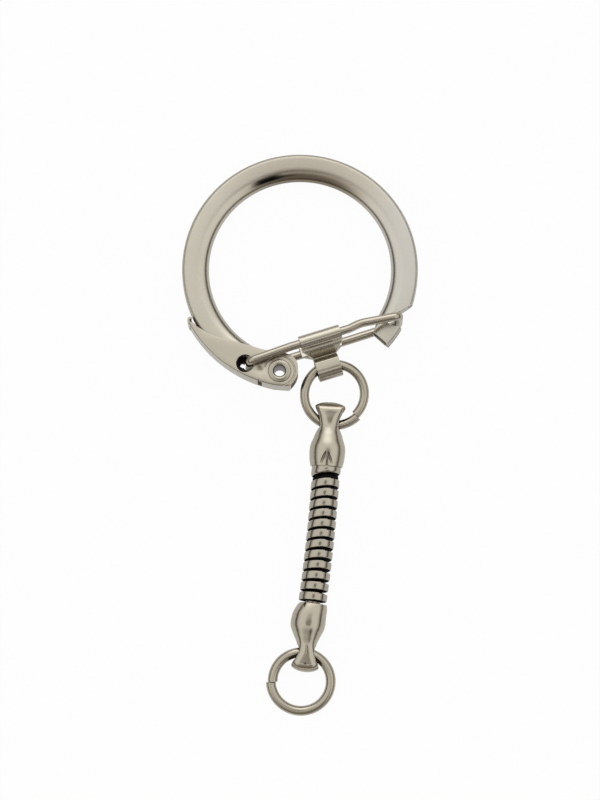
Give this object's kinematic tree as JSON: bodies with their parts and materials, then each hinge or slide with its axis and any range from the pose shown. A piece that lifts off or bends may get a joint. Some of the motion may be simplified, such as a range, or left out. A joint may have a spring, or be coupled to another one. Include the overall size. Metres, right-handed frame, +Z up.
{
  "type": "key ring",
  "caption": "Split key ring closed by an over-centre lever and a wire bail, with a folded clip, a short snake chain between waisted caps, and a jump ring at each end.",
  "frame": {"origin": "middle of the lying object on the table under it", "axes": "+Y from the lower jump ring towards the main ring, +Z up from the table, +X to the right with the lever on the left"},
  "size_m": [0.0276, 0.066, 0.0065],
  "materials": {
    "ring_steel": "satin nickel plate",
    "clasp_steel": "satin nickel plate, folded sheet",
    "rivet_steel": "nickel plate, turned flange",
    "wire_steel": "bright nickel plate on wire",
    "cap_steel": "bright nickel plate, crimped",
    "chain_steel": "bright nickel plate, aged in the gaps"
  },
  "bodies": {
    "frame": {"main_ring": "ring_steel", "rivet": "rivet_steel"},
    "lever": {"lever": "clasp_steel"},
    "bail": {"bail": "wire_steel"},
    "clip": {"clip": "clasp_steel"},
    "jump_upper": {"jump_ring_upper": "wire_steel"},
    "cap_upper": {"cap_upper": "cap_steel", "chain_end_upper": "chain_steel"},
    "chain_link_01": {"chain_link_01": "chain_steel"},
    "chain_link_02": {"chain_link_02": "chain_steel"},
    "chain_link_03": {"chain_link_03": "chain_steel"},
    "chain_link_04": {"chain_link_04": "chain_steel"},
    "chain_link_05": {"chain_link_05": "chain_steel"},
    "chain_link_06": {"chain_link_06": "chain_steel"},
    "chain_link_07": {"chain_link_07": "chain_steel"},
    "chain_link_08": {"chain_link_08": "chain_steel"},
    "chain_link_09": {"chain_link_09": "chain_steel"},
    "chain_link_10": {"chain_link_10": "chain_steel"},
    "chain_link_11": {"chain_link_11": "chain_steel"},
    "chain_link_12": {"chain_link_12": "chain_steel"},
    "cap_lower": {"cap_lower": "cap_steel", "chain_end_lower": "chain_steel"},
    "jump_lower": {"jump_ring_lower": "wire_steel"}
  },
  "joints": [
    {"name": "lever_swing", "type": "hinge", "parent": "frame", "child": "lever", "pos_m": [-0.00239, 0.00687, 0.00362], "axis": [0, 0.0958, 0.9954], "range_deg": [0, 80]},
    {"name": "bail_swing", "type": "hinge", "parent": "lever", "child": "bail", "pos_m": [-0.0059, 0.00784, 0.00352], "axis": [0, 0.0958, 0.9954], "range_deg": [-64.8, 0]},
    {"name": "clip_slide", "type": "slide", "parent": "bail", "child": "clip", "axis": [0.9544, 0.2971, -0.0286], "range_m": [-0.0009, 0.0009]},
    {"name": "jump_upper_swing", "type": "hinge", "parent": "clip", "child": "jump_upper", "pos_m": [0.00312, 0.00774, 0.00353], "axis": [0.9544, 0.2971, -0.0286], "range_deg": [-60, 60]},
    {"name": "cap_upper_swing", "type": "hinge", "parent": "jump_upper", "child": "cap_upper", "pos_m": [0.00343, 0.00108, 0.00218], "axis": [0.9976, -0.0698, 0], "range_deg": [-25, 25]},
    {"name": "link_01_bend", "type": "hinge", "parent": "cap_upper", "child": "chain_link_01", "pos_m": [0.00305, -0.00435, 0.00208], "axis": [0, 0, 1], "range_deg": [-6, 6]},
    {"name": "link_02_bend", "type": "hinge", "parent": "chain_link_01", "child": "chain_link_02", "pos_m": [0.00293, -0.0061, 0.00208], "axis": [0.9972, -0.0751, 0], "range_deg": [-6, 6]},
    {"name": "link_03_bend", "type": "hinge", "parent": "chain_link_02", "child": "chain_link_03", "pos_m": [0.00284, -0.00729, 0.00208], "axis": [0, 0, 1], "range_deg": [-6, 6]},
    {"name": "link_04_bend", "type": "hinge", "parent": "chain_link_03", "child": "chain_link_04", "pos_m": [0.00274, -0.00849, 0.00208], "axis": [0.9962, -0.0874, 0], "range_deg": [-6, 6]},
    {"name": "link_05_bend", "type": "hinge", "parent": "chain_link_04", "child": "chain_link_05", "pos_m": [0.00264, -0.00968, 0.00208], "axis": [0, 0, 1], "range_deg": [-6, 6]},
    {"name": "link_06_bend", "type": "hinge", "parent": "chain_link_05", "child": "chain_link_06", "pos_m": [0.00253, -0.01088, 0.00208], "axis": [0.995, -0.0997, 0], "range_deg": [-6, 6]},
    {"name": "link_07_bend", "type": "hinge", "parent": "chain_link_06", "child": "chain_link_07", "pos_m": [0.00241, -0.01207, 0.00208], "axis": [0, 0, 1], "range_deg": [-6, 6]},
    {"name": "link_08_bend", "type": "hinge", "parent": "chain_link_07", "child": "chain_link_08", "pos_m": [0.00228, -0.01327, 0.00208], "axis": [0.9937, -0.112, 0], "range_deg": [-6, 6]},
    {"name": "link_09_bend", "type": "hinge", "parent": "chain_link_08", "child": "chain_link_09", "pos_m": [0.00215, -0.01446, 0.00208], "axis": [0, 0, 1], "range_deg": [-6, 6]},
    {"name": "link_10_bend", "type": "hinge", "parent": "chain_link_09", "child": "chain_link_10", "pos_m": [0.002, -0.01565, 0.00208], "axis": [0.9922, -0.1243, 0], "range_deg": [-6, 6]},
    {"name": "link_11_bend", "type": "hinge", "parent": "chain_link_10", "child": "chain_link_11", "pos_m": [0.00186, -0.01684, 0.00208], "axis": [0, 0, 1], "range_deg": [-6, 6]},
    {"name": "link_12_bend", "type": "hinge", "parent": "chain_link_11", "child": "chain_link_12", "pos_m": [0.0017, -0.01803, 0.00208], "axis": [0.9906, -0.1365, 0], "range_deg": [-6, 6]},
    {"name": "cap_lower_bend", "type": "hinge", "parent": "chain_link_12", "child": "cap_lower", "pos_m": [0.00153, -0.01922, 0.00208], "axis": [0, 0, 1], "range_deg": [-6, 6]},
    {"name": "jump_lower_swing", "type": "hinge", "parent": "cap_lower", "child": "jump_lower", "pos_m": [0.00056, -0.02559, 0.00186], "axis": [0.993, -0.1184, 0], "range_deg": [-60, 60]}
  ],
  "couplings": [
    {"joint": "bail_swing", "follows": "lever_swing", "ratio": -0.81}
  ]
}
